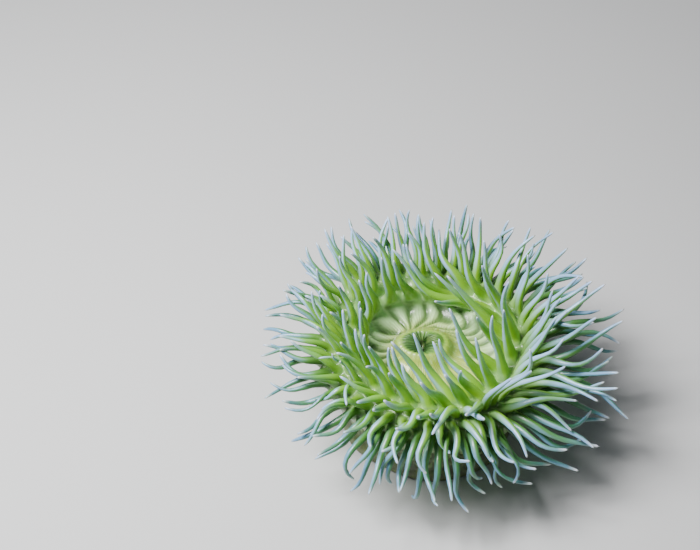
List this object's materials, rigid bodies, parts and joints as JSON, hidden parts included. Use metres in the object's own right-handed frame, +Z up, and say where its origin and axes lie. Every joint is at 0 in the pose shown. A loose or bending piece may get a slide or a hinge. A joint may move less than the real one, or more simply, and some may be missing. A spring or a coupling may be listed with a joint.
{
  "type": "sea anemone",
  "caption": "Green sea anemone, life size and open: a broad flat foot, short warty column, rolled rim with 240 tapering tentacles, and a flat folded oral disc with a puckered mouth.",
  "frame": {"origin": "middle of the foot's flat sole, on the floor", "axes": "+Z up through the column, +X to the right and -Y towards the viewer as the anemone is usually seen"},
  "size_m": [0.2054, 0.1919, 0.1125],
  "materials": {
    "foot": "wet, smooth, olive flesh",
    "column": "wet, olive green flesh covered in small warts",
    "collar": "wet, pale green flesh with beads under the tentacles",
    "oral_disc": "wet, pale yellow green flesh with fine radial folds",
    "lips": "wet, pale yellow green puckered flesh",
    "throat": "wet, dark green ridged flesh",
    "tentacles_inner": "wet, yellow green at the root, pale lavender at the tip",
    "tentacles_middle": "wet, mint green, pale lavender at the tip",
    "tentacles_outer": "wet, blue green, pale lavender at the tip"
  },
  "bodies": {
    "root": {"pedal_disc": "foot", "column_lower": "column", "column_upper": "column", "collar": "collar", "oral_disc": "oral_disc", "lips": "lips", "throat": "throat", "tentacles_inner_1": "tentacles_inner", "tentacles_inner_2": "tentacles_inner", "tentacles_inner_3": "tentacles_inner", "tentacles_inner_4": "tentacles_inner", "tentacles_inner_5": "tentacles_inner", "tentacles_inner_6": "tentacles_inner", "tentacles_inner_7": "tentacles_inner", "tentacles_inner_8": "tentacles_inner", "tentacles_second_1": "tentacles_inner", "tentacles_second_2": "tentacles_inner", "tentacles_second_3": "tentacles_inner", "tentacles_second_4": "tentacles_inner", "tentacles_second_5": "tentacles_inner", "tentacles_second_6": "tentacles_inner", "tentacles_second_7": "tentacles_inner", "tentacles_second_8": "tentacles_inner", "tentacles_third_1": "tentacles_middle", "tentacles_third_2": "tentacles_middle", "tentacles_third_3": "tentacles_middle", "tentacles_third_4": "tentacles_middle", "tentacles_third_5": "tentacles_middle", "tentacles_third_6": "tentacles_middle", "tentacles_third_7": "tentacles_middle", "tentacles_third_8": "tentacles_middle", "tentacles_fourth_1": "tentacles_middle", "tentacles_fourth_2": "tentacles_middle", "tentacles_fourth_3": "tentacles_middle", "tentacles_fourth_4": "tentacles_middle", "tentacles_fourth_5": "tentacles_middle", "tentacles_fourth_6": "tentacles_middle", "tentacles_fourth_7": "tentacles_middle", "tentacles_fourth_8": "tentacles_middle", "tentacles_fifth_1": "tentacles_outer", "tentacles_fifth_2": "tentacles_outer", "tentacles_fifth_3": "tentacles_outer", "tentacles_fifth_4": "tentacles_outer", "tentacles_fifth_5": "tentacles_outer", "tentacles_fifth_6": "tentacles_outer", "tentacles_fifth_7": "tentacles_outer", "tentacles_fifth_8": "tentacles_outer", "tentacles_outer_1": "tentacles_outer", "tentacles_outer_2": "tentacles_outer", "tentacles_outer_3": "tentacles_outer", "tentacles_outer_4": "tentacles_outer", "tentacles_outer_5": "tentacles_outer", "tentacles_outer_6": "tentacles_outer", "tentacles_outer_7": "tentacles_outer", "tentacles_outer_8": "tentacles_outer"}
  },
  "joints": []
}
